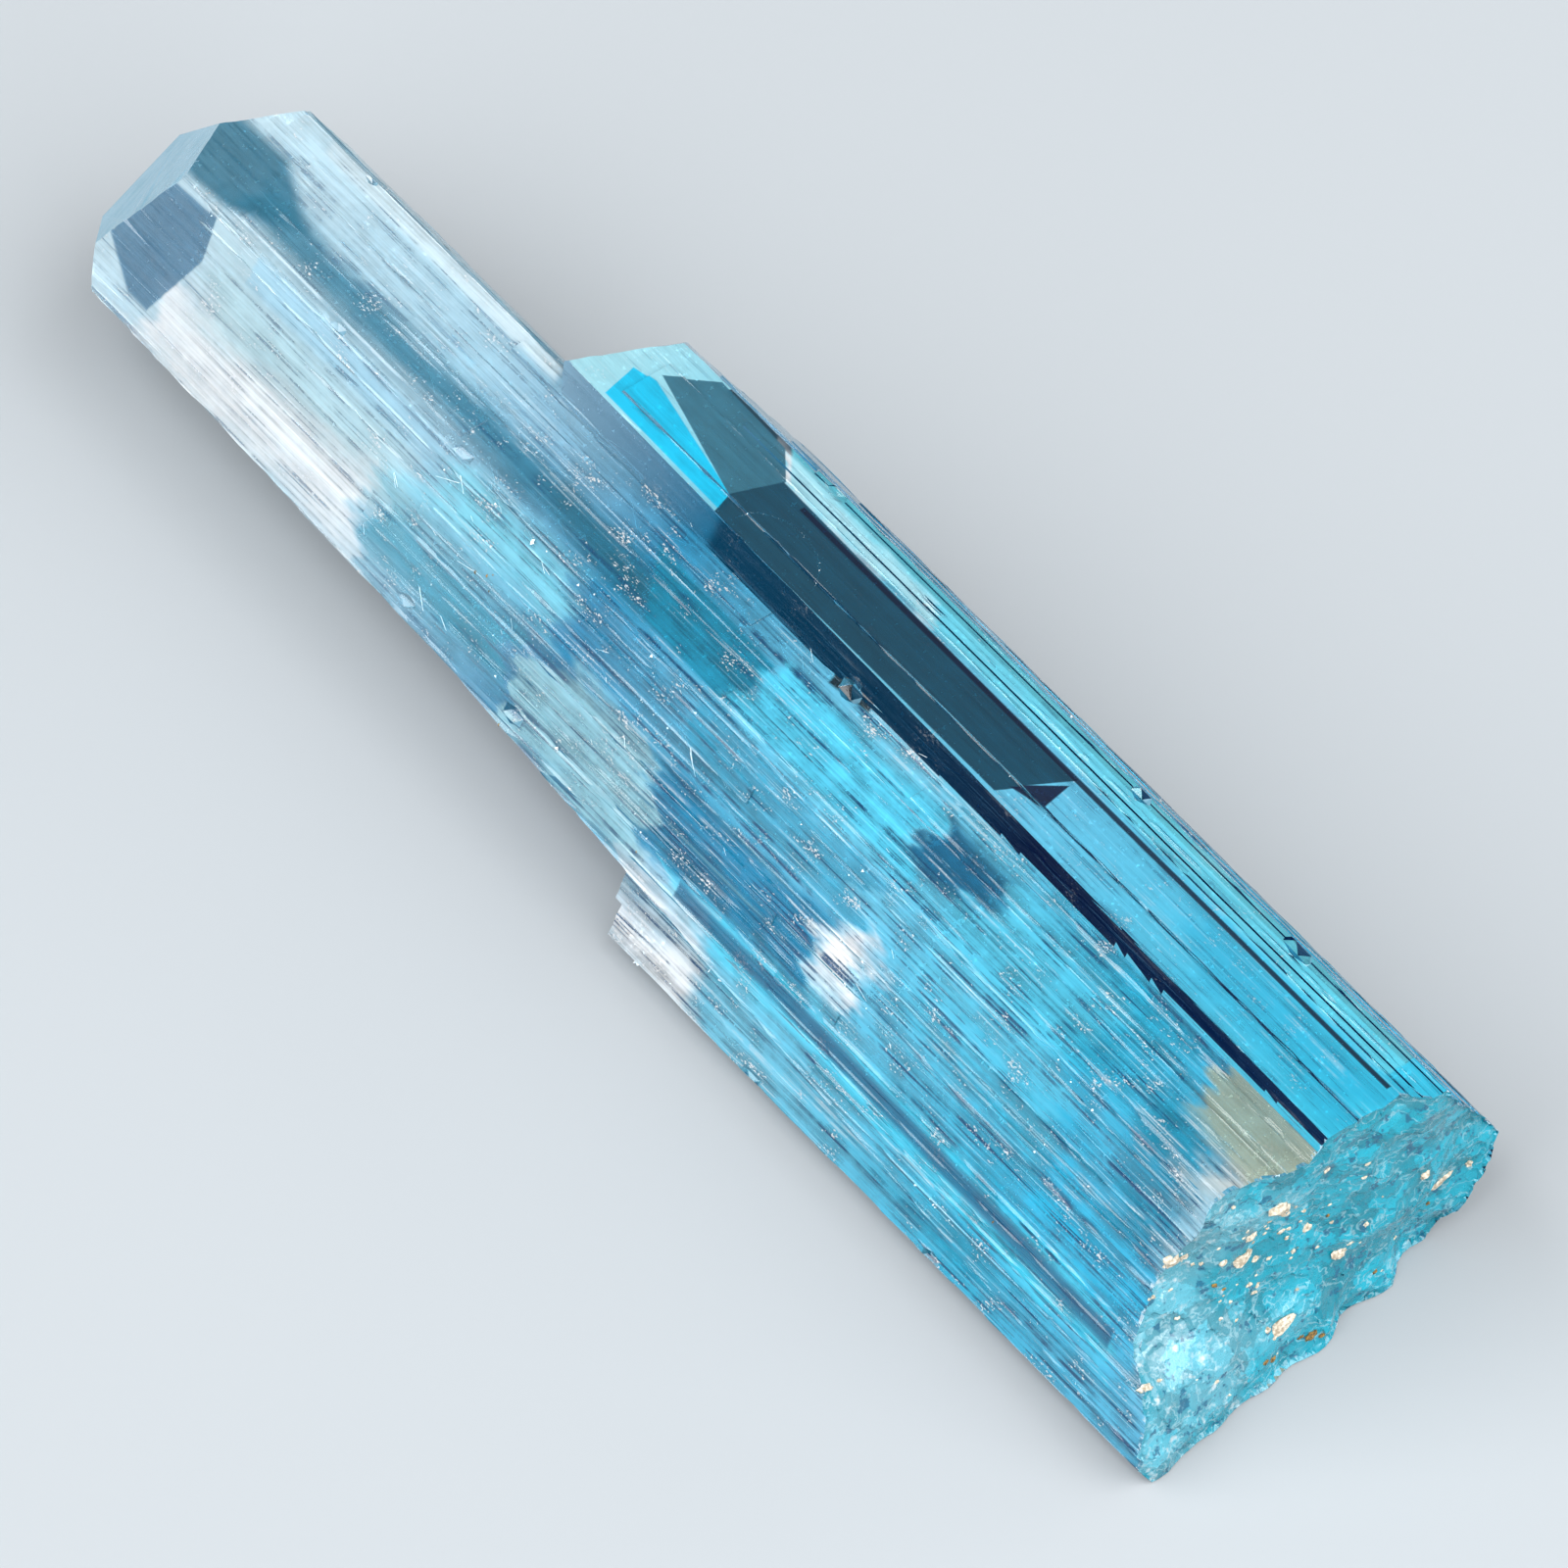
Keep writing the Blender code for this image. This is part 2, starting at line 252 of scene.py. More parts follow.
# %% [markdown]
# ## Worn edges, growth lines and the break
# The edges are nibbled a little, most where a slow noise says so. A growth line's depth comes from two noises
# across the face, a broad one and a fine one, stepped like terraces and almost constant along the prism.
# Beryl breaks like glass, in shallow bowls that meet in sharp ridges: each cell of a Voronoi pattern becomes
# one bowl with its own tilt, at about 1.2 mm and again at 0.5 mm.

# %% worn edges
EDGE_WEAR = 0.07
SHARP = math.radians(25)
moves = {}
for edge in bm.edges:
    if len(edge.link_faces) == 2 and edge.calc_face_angle() > SHARP:
        for vert in edge.verts:
            place = Vector((vert.co.x * 0.8, vert.co.y * 1.4, vert.co.z * 0.8))
            bite = noise.fractal(place, 1.0, 2.0, 3)
            moves[vert] = -vert.normal * EDGE_WEAR * max(0.0, bite + 0.15)
print("worn corners:", len(moves))


# %% growth lines
def striation(across, y, slot):
    """The depth of the growth lines, from 0.01 to about 0.04 mm."""
    broad = noise.noise(Vector((across * 1.1, y * 0.03, slot)))
    fine = noise.noise(Vector((across * 4.5, y * 0.05, slot + 7.3)))
    terrace = math.floor((broad * 1.2 + fine + 1.0) * 5) / 5
    return 0.010 + 0.028 * max(0.0, min(2.0, terrace)) / 2 + 0.006 * (fine + 0.5)


for slot, (angle, faces) in enumerate(prism_faces.items()):
    out, across = radial(angle), radial(angle + 90)
    held = set(faces)
    for vert in {vert for face in faces for vert in face.verts}:
        if all(face in held for face in vert.link_faces):
            moves[vert] = -out * striation(vert.co.dot(across), vert.co.y, slot * 3.1)
print("corners moved for growth lines:", len(moves))


# %% the broken surface
def bowls(x, z, wide, slot):
    """Bowls that meet in sharp ridges, each tilted its own way, from 0 to about 1."""
    place = Vector((x / wide, slot, z / wide))
    distances, points = noise.voronoi(place)
    tilt, off = noise.cell_vector(points[0] * 7.3), place - points[0]
    return 0.55 - 0.6 * min(distances[0], 1.0) ** 2 + 0.5 * (tilt.x * off.x + tilt.z * off.z)


def break_depth(x, z):
    """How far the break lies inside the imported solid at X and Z: large bowls with small ones in them."""
    bent = 0.3 * noise.noise(Vector((x * 0.9, 5.0, z * 0.9)))
    large, small = bowls(x + bent, z, 1.25, 2.2), bowls(x, z + bent, 0.5, 8.4)
    return max(0.0, 0.02 + 0.20 * large + 0.09 * small)


held = set(rough)
for vert in {vert for face in rough for vert in face.verts}:
    if all(face in held for face in vert.link_faces):
        moves[vert] = Vector((0, break_depth(vert.co.x, vert.co.z), 0))
for vert, move in moves.items():
    vert.co += move
bmesh.ops.triangulate(bm, faces=bm.faces[:])
bm.normal_update()

# %% [markdown]
# ## Which face gets which finish
# The finish differs from face to face, because each one looks into another part of the stone. Its number
# comes from the way the face looks and from where it lies.

# %% finish numbers
HIDDEN, LONG, SIDE, BEVEL, RIGHT, STEP, BROKEN = range(7)


def finish_of(face):
    """The number of the finish of one face."""
    normal, middle = face.normal, face.calc_center_median()
    if normal.y < -0.25 and middle.y < -24.0:
        return BROKEN
    if normal.y > 0.4:
        return BEVEL
    if normal.z > 0.3 and normal.x < 0.5:  # the faces that look up or to the upper left
        if normal.x < -0.5 and middle.x > 0.2:
            return STEP  # the side prism stands 1 mm higher than the long one
        return SIDE if middle.z > 10.0 else LONG
    if normal.x > 0.5 and normal.z > 0.2 and middle.z > 5.0:
        return RIGHT
    return HIDDEN


for face in bm.faces:
    face.material_index = finish_of(face)
print("cut crystal:", len(bm.faces), "triangles,", sum(not e.is_manifold for e in bm.edges), "open edges")
bmesh.ops.scale(bm, vec=(MM,) * 3, verts=bm.verts)
mesh = bpy.data.meshes.new("beryl_group")
bm.to_mesh(mesh)
bm.free()
crystal = bpy.data.objects.new("beryl_group", mesh)
bpy.context.scene.collection.objects.link(crystal)
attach(crystal, "root")
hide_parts("aquamarine_crystal")

# %% [markdown]
# ## Beryl as a material
# Clear beryl bends light by an index of 1.577 and takes out red along the way, which is what makes thick
# parts bluer than thin ones. The stone isn't clear all through: veils of tiny fluid drops scatter light, so
# a third of it comes back from the surface as from a milky solid, in the colour painted below, and the rest
# passes. The pattern is built in millimetres, so that its scale is the scale of the stone.

# %% a start for each kind of beryl
IOR_BERYL = 1.577
CLEAR = 0.65  # the share of light that passes; fully clear glass would show none of the veils
ABSORBED = "#55DFF5"  # what is left of white light, red being taken out first
ABSORPTION = 70.0  # per metre, so a 10 mm thick part keeps half of its red light


def start_beryl(name, clear, shine=0.5):
    """A new clear material: its node tree, its shader and the place on the stone in millimetres."""
    material = bpy.data.materials.new(name)
    material.use_nodes = True
    tree = material.node_tree
    shader = tree.nodes["Principled BSDF"]
    shader.inputs["IOR"].default_value = IOR_BERYL
    shader.inputs["Transmission Weight"].default_value = clear
    shader.inputs["Specular IOR Level"].default_value = shine
    absorb = add(tree, "VolumeAbsorption", Color=srgb(ABSORBED), Density=ABSORPTION)
    tree.links.new(absorb, tree.nodes["Material Output"].inputs["Volume"])
    mm = add(tree, "VectorMath", operation="SCALE", Vector=add(tree, "TexCoord", "Object"), Scale=1 / MM)
    return material, tree, shader, mm


# %% [markdown]
# ## Zones
# Veils, colour zones and the reflections of back faces show as patches with an outline. A zone is a convex
# outline in X and Y. Its mask is the smallest distance to any of its sides, so it fades over the width of its
# border. Grown zones wander: their outline is bent by a slow noise that is stretched along the prism.


# %% a mask for one zone
def zone_mask(tree, where, border, strength, corners):
    """From 0 outside the outline to the zone's strength inside. The place holds X, Y and a 1."""
    centre = [sum(corner[i] for corner in corners) / len(corners) for i in (0, 1)]
    least = None
    for (x0, y0), (x1, y1) in zip(corners, corners[1:] + corners[:1]):
        size = math.hypot(x1 - x0, y1 - y0)
        nx, ny = (y1 - y0) / size, (x0 - x1) / size
        if nx * (centre[0] - x0) + ny * (centre[1] - y0) < 0:
            nx, ny = -nx, -ny
        side = (nx, ny, -(nx * x0 + ny * y0))
        depth = add(tree, "VectorMath", "Value", operation="DOT_PRODUCT", i0=where, i1=side)
        least = depth if least is None else add(tree, "Math", operation="MINIMUM", i0=least, i1=depth)
    return add(
        tree, "MapRange", interpolation_type="SMOOTHSTEP", Value=least,
        From_Min=-border / 2, From_Max=border / 2, To_Max=strength,
    )


def paint_zones(tree, colour, zones, flat, wavy, light=None):
    """Lays the zones over a colour, one by one, each lit by a pattern if one is given."""
    for _, border, wanders, strength, code, corners in zones:
        paint = srgb(code)
        if light is not None:
            paint = add(tree, "VectorMath", operation="SCALE", Vector=paint[:3], Scale=light)
        mask = zone_mask(tree, wavy if wanders else flat, border, strength, corners)
        colour = add(tree, "Mix", 2, data_type="RGBA", i0=mask, i6=colour, i7=paint)
    return colour


# %% [markdown]
# ## Growth streaks
# Three noises make the grain of the stone: bands half a millimetre wide and many millimetres long, lines an
# eighth of a millimetre wide, and an even cloud. The finest ones are a little coarser than the real lines,
# which are too fine for a picture of the whole stone.

# %% the noises
STREAK_DARK = "#0A4A78"  # a line that leads the eye into the deep of the stone
STREAK_PALE = "#F4FCFF"  # a line that catches the light
FROST = "#FFFFFF"  # specks of fluid drops


def growth_grain(tree, mm, scale, detail, shift=(0, 0, 0), out="Fac"):
    """The uneven grain of the stone, with this many turns in a millimetre in X, Y and Z."""
    place = add(tree, "VectorMath", operation="MULTIPLY_ADD", i0=mm, i1=scale, i2=shift)
    return add(tree, "TexNoise", out, Vector=place, Scale=1.0, Detail=detail, Roughness=0.6)


def streaked(tree, colour, y, bands, lines, cloud, flecks, strength):
    """Lightens and darkens a colour along the grain and draws the finest lines and specks over it."""
    grain = add(tree, "Math", operation="ADD", i0=bands, i1=lines)
    grain = add(tree, "Math", operation="ADD", i0=grain, i1=cloud)
    span = dict(Value=grain, From_Min=1.25, From_Max=1.75)
    smooth = dict(interpolation_type="SMOOTHSTEP")
    lower = add(tree, "MapRange", Value=y, From_Min=14.0, From_Max=-4.0, To_Min=0.5, To_Max=1.0, **smooth)
    light = add(tree, "MapRange", To_Min=0.26 * strength, To_Max=-0.42 * strength, **span)
    light = add(tree, "Math", operation="MULTIPLY_ADD", i0=light, i1=lower, i2=1.0)
    colour = add(tree, "VectorMath", operation="SCALE", Vector=colour, Scale=light)
    patchy = add(tree, "MapRange", Value=cloud, From_Min=0.38, From_Max=0.56, **smooth)
    patchy = add(tree, "Math", operation="MULTIPLY", i0=patchy, i1=lower)
    for code, first, last, share in ((STREAK_DARK, 0.55, 0.66, 0.95), (STREAK_PALE, 0.41, 0.30, 0.45)):
        share = share * strength
        line = add(tree, "MapRange", Value=lines, From_Min=first, From_Max=last, To_Max=share, **smooth)
        line = add(tree, "Math", operation="MULTIPLY", i0=patchy, i1=line)
        colour = add(tree, "Mix", 2, data_type="RGBA", i0=line, i6=colour, i7=srgb(code))
    specks = add(tree, "Math", operation="ADD", i0=flecks, i1=cloud)
    share = 0.9 * strength
    specks = add(tree, "MapRange", Value=specks, From_Min=1.20, From_Max=1.30, To_Max=share, **smooth)
    colour = add(tree, "Mix", 2, data_type="RGBA", i0=specks, i6=colour, i7=srgb(FROST))
    return colour, add(tree, "MapRange", To_Min=1.10, To_Max=0.84, **span)


# %% [markdown]
# ## One beryl for each set of faces
# The base is a colour that changes along the prism: milky and pale at the tips, where the stone is thin and
# full of veils, and bluer towards the break. Zones come next, then the streaks, then the clear windows, which
# are seen through polished-looking parts of the face and so keep sharp outlines. The streaks also set how
# rough the face is, from 0.03, like clean glass, to 0.15, and the lines stand out in a small bump.


# %% the beryl material
def beryl(
    name, stops, zones=(), windows=(), streaks=1.0, clear=CLEAR, growth=0.0, shine=0.5, mirror="#FFFFFF"
):
    """The finish of one set of faces, from its colours along the prism, its zones and its windows."""
    material, tree, shader, mm = start_beryl(name, clear, shine)
    shader.inputs["Specular Tint"].default_value = srgb(mirror)
    x, y = (add(tree, "SeparateXYZ", axis, Vector=mm) for axis in ("X", "Y"))
    low, high = stops[0][0], stops[-1][0]
    ramp = tree.nodes.new("ShaderNodeValToRGB")
    tree.links.new(add(tree, "MapRange", Value=y, From_Min=low, From_Max=high), ramp.inputs[0])
    stripe = ramp.color_ramp.elements
    stripe[0].color, stripe[1].color = srgb(stops[0][1]), srgb(stops[-1][1])
    for at, code in stops[1:-1]:
        stripe.new((at - low) / (high - low)).color = srgb(code)
    colour = ramp.outputs[0]
    flat = add(tree, "CombineXYZ", X=x, Y=y, Z=1.0)
    wavy = flat
    if zones:  # outlines wander by half a millimetre across and 2.5 mm along the prism
        swirl = growth_grain(tree, mm, (0.9, 0.30, 0.9), 3.0, (9, 2, 4), "Color")
        swirl = add(tree, "VectorMath", operation="MULTIPLY_ADD", i0=swirl, i1=(1.1, 5.0, 0.0), i2=flat)
        wavy = add(tree, "VectorMath", operation="ADD", i0=swirl, i1=(-0.55, -2.5, 0.0))
    colour = paint_zones(tree, colour, zones, flat, wavy)
    bands = growth_grain(tree, mm, (1.8, 0.07, 1.8), 2.0)
    lines = growth_grain(tree, mm, (8.0, 0.14, 8.0), 2.0, (3, 1, 7))
    cloud = growth_grain(tree, mm, (1.3, 0.7, 1.3), 4.0, (5, 5, 5))
    flecks = growth_grain(tree, mm, (15.0, 8.0, 15.0), 2.0, (1, 8, 2))
    colour, light = streaked(tree, colour, y, bands, lines, cloud, flecks, streaks)
    colour = paint_zones(tree, colour, windows, flat, wavy, light)
    if growth:  # a bevel grew in layers that cross it
        layers = growth_grain(tree, mm, (0.3, 5.0, 2.0), 1.0, (0, 0, 0))
        layers = add(tree, "MapRange", Value=layers, From_Min=0.46, From_Max=0.66, To_Max=growth)
        colour = add(tree, "Mix", 2, data_type="RGBA", i0=layers, i6=colour, i7=srgb("#58BCDC"))
    tree.links.new(colour, shader.inputs["Base Color"])
    polish = add(
        tree, "MapRange", interpolation_type="SMOOTHSTEP", Value=bands,
        From_Min=0.35, From_Max=0.65, To_Min=0.03, To_Max=0.15,
    )
    tree.links.new(polish, shader.inputs["Roughness"])
    tree.links.new(add(tree, "Bump", Strength=0.5, Distance=0.03 * MM, Height=lines), shader.inputs["Normal"])
    print(name, "has", len(tree.nodes), "nodes")
    return material


# %% [markdown]
# ## The zones of the long prism
# From the tip down: slate windows where the bevels on the far side are seen through the stone, a milky band
# of early growth beside a painted highlight along the left edge, a dark band along the middle, a grey patch
# that grew over the left side, deep and cyan windows below it, a white blotch where an old crack healed
# badly, and frost at the foot. A white stripe near the right edge is a painted highlight as well.

# %% zones on the upper left face and the top face
# each row: name, border in mm, whether the outline wanders, strength, colour, corners in X and Y
LONG_ZONES = (
    ("milky growth", 1.36, True, 0.85, "#C6E9F2", ((-5.6, 23.5), (-4.3, 23.3), (-4.3, 13.0), (-5.6, 12.6))),
    # painted highlight: pure white along the left edge, where the edge catches the light
    ("painted highlight, left edge", 1.02, True, 0.9, "#FFFFFF", ((-6.8, 26.0), (-5.4, 25.0), (-5.3, 14.6), (-6.6, 14.0))),
    ("lavender strip", 0.2, False, 0.7, "#AFE0F7", ((-4.3, 22.4), (-3.7, 22.3), (-3.7, 10.4), (-4.3, 11.3))),
    ("dark band", 1.19, True, 0.85, "#1E7894", ((-3.2, 25.0), (-1.7, 25.0), (-1.7, 2.0), (-3.1, 2.0))),
    # painted highlight: a white stripe along the right edge of the long prism
    ("painted highlight, right stripe", 0.35, False, 0.95, "#DCF0F7", ((0.6, 24.5), (1.3, 24.8), (1.3, 12.2), (0.6, 12.0))),
    ("left streaks", 0.85, True, 0.8, "#47A5BE", ((-6.4, 13.6), (-5.3, 13.6), (-5.3, 6.0), (-6.4, 6.0))),
    ("cyan shoulder", 1.36, True, 0.85, "#8DEAFF", ((-5.0, 12.9), (-3.8, 10.6), (-3.7, 4.9), (-4.9, 5.3))),
    ("grey patch", 0.42, True, 0.95, "#9ED5E3",
     ((-6.9, 5.5), (-5.7, 5.3), (-5.0, 3.4), (-5.0, -0.6), (-6.0, -1.9), (-7.0, -1.9))),
    ("deep window", 0.2, False, 0.95, "#1793B6", ((-3.2, 2.2), (-0.9, 4.4), (-1.1, -2.0), (-3.4, -2.5))),
    ("cyan window", 0.68, True, 0.9, "#59DBFE", ((-3.4, -2.5), (-0.6, -1.8), (-0.6, -10.6), (-3.4, -11.4))),
    ("left deep", 0.68, True, 0.95, "#0583AD", ((-6.6, -1.6), (-5.0, -1.5), (-5.0, -10.3), (-6.6, -9.9))),
    ("mid grey", 0.34, True, 0.7, "#299FC2", ((-4.9, -2.2), (-3.7, -2.0), (-3.7, -11.1), (-4.9, -10.4))),
    ("speckled dark", 0.85, True, 0.95, "#056087",
     ((-2.6, -11.4), (-0.6, -10.9), (-0.6, -13.6), (-2.6, -13.9))),
    ("white blotch", 0.85, True, 1.0, "#FFFFFF",
     ((-6.0, -10.4), (-5.2, -10.2), (-4.7, -11.4), (-5.2, -12.4), (-6.0, -11.6))),
    ("deep streaks", 2.04, True, 0.75, "#59CAE8",
     ((-5.4, -13.7), (-0.6, -14.0), (-0.9, -20.0), (-5.3, -20.9))),
    ("foot haze", 1.7, True, 0.6, "#06C8F6", ((-6.7, -21.3), (-5.3, -22.4), (-5.0, -28.0), (-7.0, -28.0))),
    ("green haze", 1.7, True, 0.8, "#058AAA", ((-5.4, -25.0), (-1.8, -23.6), (-2.1, -28.0), (-5.4, -28.4))),
    ("frosted foot", 2.04, True, 0.75, "#D8D6CC", ((-3.6, -27.0), (1.1, -27.4), (1.1, -31.0), (-3.6, -31.0))),
    ("frosted corner", 1.4, True, 0.6, "#BCE4F2",
     ((-7.0, -28.4), (-3.6, -27.2), (-3.4, -31.0), (-7.0, -31.0))),
    ("dark left strip", 0.51, True, 0.85, "#4ADBFB",
     ((-6.9, -3.0), (-6.5, -3.0), (-6.6, -27.0), (-7.4, -27.0))),
    ("bright sliver top", 1.36, True, 0.95, "#FFFFFF",
     ((-8.2, -1.0), (-7.1, -1.0), (-7.0, -5.5), (-8.2, -6.5))),
)

# %% windows in the long prism
LONG_WINDOWS = (
    ("tip slate, left", 0.12, False, 0.9, "#51809F",
     ((-6.1, 26.6), (-5.4, 28.6), (-3.9, 28.6), (-3.8, 24.6), (-4.6, 24.4), (-6.1, 25.6))),
    ("tip slate, right", 0.6, False, 0.9, "#307790",
     ((-3.7, 28.5), (-0.6, 28.5), (-0.5, 25.0), (-2.0, 22.0), (-3.4, 24.6))),
    # painted shadow: near black where a chip at the step's edge lies in deep shade
    ("painted shadow in a chip", 0.15, False, 0.95, "#01080F", ((-0.15, -3.6), (0.9, -3.3), (0.9, -5.5), (0.1, -5.4))),
    ("left seam", 0.15, False, 0.8, "#08527E",
     ((-6.85, -4.0), (-6.55, -4.0), (-6.75, -27.0), (-7.05, -27.0))),
    ("striped foot", 0.8, True, 0.85, "#A6B6A0", ((-1.7, -24.4), (1.1, -24.6), (1.1, -29.6), (-2.4, -29.6))),
)
print(len(LONG_ZONES), "zones and", len(LONG_WINDOWS), "windows in the long prism")

# %% [markdown]
# ## The zones of the side prism
# Its top face is the clearest part of the stone. Painted reflections of the tip's facets show in it as a
# bright cyan sliver and a grey kite, and below them lies a long slate window with a sharp end, beside a pale
# strip.

# %% zones and windows on the side prism
SIDE_ZONES = (
    ("rim shadow", 0.08, False, 0.95, "#04283C", ((4.24, 7.5), (4.8, 7.5), (4.8, -28.0), (4.24, -28.0))),
    ("strip glare", 0.5, True, 0.85, "#FFFFFF", ((3.45, 3.6), (4.2, 4.2), (4.2, -3.6), (3.45, -4.4))),
    ("light strip", 0.15, False, 0.6, "#76EBFF", ((3.4, 3.0), (4.6, 4.4), (4.6, -28.0), (3.4, -28.0))),
    ("foot", 1.5, True, 0.5, "#18AED7", ((0.9, -21.0), (3.2, -19.0), (3.2, -29.0), (0.9, -29.0))),
)
SIDE_WINDOWS = (
    # painted reflection of a tip facet, seen through the top face
    ("cyan facet", 0.06, False, 0.97, "#02CDF9",
     ((1.1, 9.9), (2.5, 10.2), (2.7, 9.2), (1.6, 3.7), (1.0, 3.6))),
    # painted reflection of the tip's facets: a grey kite
    ("kite", 0.06, False, 0.95, "#346F85", ((3.0, 9.3), (4.4, 7.9), (4.3, 4.4), (3.4, 3.2), (1.6, 3.9))),
    ("slate window", 0.06, False, 0.97, "#05435B",
     ((0.8, 3.7), (1.6, 3.95), (3.35, 3.25), (3.15, -12.5), (0.8, -11.1))),
    ("blue corner", 0.06, False, 0.97, "#000A38", ((1.3, -11.3), (2.8, -12.5), (1.6, -12.7))),
    ("dark line", 0.06, False, 0.95, "#021A38", ((3.02, 2.0), (3.22, 2.0), (3.24, -28.5), (3.06, -28.5))),
)
print(len(SIDE_ZONES), "zones and", len(SIDE_WINDOWS), "windows in the side prism")

# %% the finishes
# colours along the prism: Y in mm, colour
LONG_STOPS = (
    (-30.0, "#5AB8DC"), (-20.0, "#23B1D5"), (-8.0, "#79D0EC"),
    (4.0, "#2E93BE"), (14.0, "#AED4E5"), (30.0, "#D6EEF6"),
)
SIDE_STOPS = ((-30.0, "#33CBED"), (-12.0, "#68C7EA"), (3.0, "#7DD8F1"), (14.0, "#BCEFF8"))
# the step faces the long prism across the valley between them: dark navy painted shade below Y 3.2, paler
# towards the tip
STEP_SHADE_STOPS = (
    (-28.0, "#022048"), (-14.0, "#010533"), (-6.0, "#02304C"),
    (3.2, "#05405E"), (3.6, "#27759B"), (12.0, "#8EB4CC"),
)
RIGHT_STOPS = ((-30.0, "#2488B4"), (3.0, "#3E9CC2"), (14.0, "#8CC8DE"), (30.0, "#B4DCEA"))
BEVEL_STOPS = ((10.0, "#A8E4FF"), (30.0, "#AEE6FF"))
finishes = {
    HIDDEN: beryl("aquamarine, faces below and behind", LONG_STOPS, streaks=0.5, clear=0.75),
    LONG: beryl("aquamarine, long prism", LONG_STOPS, LONG_ZONES, LONG_WINDOWS),
    SIDE: beryl("aquamarine, side prism", SIDE_STOPS, SIDE_ZONES, SIDE_WINDOWS, 0.4),
    BEVEL: beryl("aquamarine, tip bevels", BEVEL_STOPS, streaks=0.0, growth=0.45),
    RIGHT: beryl("aquamarine, right faces", RIGHT_STOPS, streaks=0.9),
    # the step lies in the valley between the two prisms: its dark navy is painted shade, and its reflection is
    # turned down and tinted blue, so it mirrors less of the floor than a clean face would
    STEP: beryl("aquamarine, step in painted shade", STEP_SHADE_STOPS, streaks=0.15, shine=0.2, mirror="#2C86AC"),
}

# %% [markdown]
# ## Broken beryl
# The break is turquoise on the right, where the stone is clear, and paler on the left, where it is full of
# veils. Each flake of the break is painted lighter or darker as a whole, as painted light and shade on flakes
# that tilt their own ways. Thin pale lines run where a bowl ends in a ridge, white spots are crushed stone,
# and dark ones look into the clear stone below.

# %% the break
material, tree, shader, mm = start_beryl("aquamarine, broken surface", 0.5)
smooth = dict(interpolation_type="SMOOTHSTEP")
cloud = growth_grain(tree, mm, (0.35, 0.35, 0.35), 3.0)
grit = growth_grain(tree, mm, (2.2, 2.2, 2.2), 4.0, (4, 4, 4))
swirl = growth_grain(tree, mm, (0.9, 0.9, 0.9), 3.0, (2, 7, 1), "Color")
warped = add(tree, "VectorMath", operation="MULTIPLY_ADD", i0=swirl, i1=(1.6, 1.6, 1.6), i2=mm)
flake = add(tree, "TexVoronoi", "Color", Vector=warped, Scale=1.1)
# painted light and shade: each flake gets its own brightness, from 0.72 to 1.30 times the colour
tone = add(tree, "MapRange", Value=add(tree, "SeparateXYZ", Vector=flake), To_Min=0.72, To_Max=1.30)
hinge = growth_grain(tree, warped, (0.8, 0.8, 1.4), 2.0, (6, 3, 8))
ridge = add(tree, "Math", operation="SUBTRACT", i0=hinge, i1=0.5)
ridge = add(tree, "Math", operation="ABSOLUTE", i0=ridge)
ridge = add(tree, "MapRange", Value=ridge, From_Min=0.025, From_Max=0.0, To_Max=0.4, **smooth)
x = add(tree, "SeparateXYZ", Vector=mm)
clearer = add(tree, "MapRange", Value=x, From_Min=-5.0, From_Max=3.0, To_Max=0.30, **smooth)
share = add(tree, "Math", operation="ADD", i0=cloud, i1=clearer)
share = add(tree, "MapRange", Value=share, From_Min=0.48, From_Max=0.70, **smooth)
colour = add(tree, "Mix", 2, data_type="RGBA", i0=share, i6=srgb("#5CB2C6"), i7=srgb("#00A2BA"))
colour = add(tree, "VectorMath", operation="SCALE", Vector=colour, Scale=tone)
crushed = add(tree, "Math", operation="SUBTRACT", i0=grit, i1=clearer)
crushed = add(tree, "MapRange", Value=crushed, From_Min=0.57, From_Max=0.71, To_Max=0.7, **smooth)
deep = add(tree, "MapRange", Value=grit, From_Min=0.42, From_Max=0.34, To_Max=0.85, **smooth)
for mask, code in ((ridge, "#C9EEF7"), (crushed, "#F4FBFD"), (deep, "#046488")):
    colour = add(tree, "Mix", 2, data_type="RGBA", i0=mask, i6=colour, i7=srgb(code))
tree.links.new(colour, shader.inputs["Base Color"])
dull = dict(To_Min=0.10, To_Max=0.35, **smooth)
rough_spots = add(tree, "MapRange", Value=grit, From_Min=0.3, From_Max=0.7, **dull)
tree.links.new(rough_spots, shader.inputs["Roughness"])
tree.links.new(add(tree, "Bump", Strength=0.7, Distance=0.06 * MM, Height=grit), shader.inputs["Normal"])
finishes[BROKEN] = material
for number in range(7):
    crystal.data.materials.append(finishes[number])
print("finishes on the crystal:", [slot.name for slot in crystal.data.materials])

# %% [markdown]
# ## Finding the surface
# The inclusions lie a little under the faces, and the grains sit on the break. A ray sent down, or into the
# break, finds the surface of the cut crystal at any place.

# %% places on the crystal
skin = BVHTree.FromPolygons(
    [vert.co / MM for vert in crystal.data.vertices], [tuple(face.vertices) for face in crystal.data.polygons]
)


def on_top(x, y):
    """The place on the upper side at X and Y, and its normal, or None beside the crystal."""
    return skin.ray_cast(Vector((x, y, 30.0)), Vector((0, 0, -1)))[:2]


def on_break(x, z):
    """The place on the break at X and Z. One beside the break is drawn towards its middle."""
    place = None
    while place is None:
        place = skin.ray_cast(Vector((x, -60.0, z)), Vector((0, 1, 0)))[0]
        x, z = x * 0.97, 4.6 + (z - 4.6) * 0.97
    return place


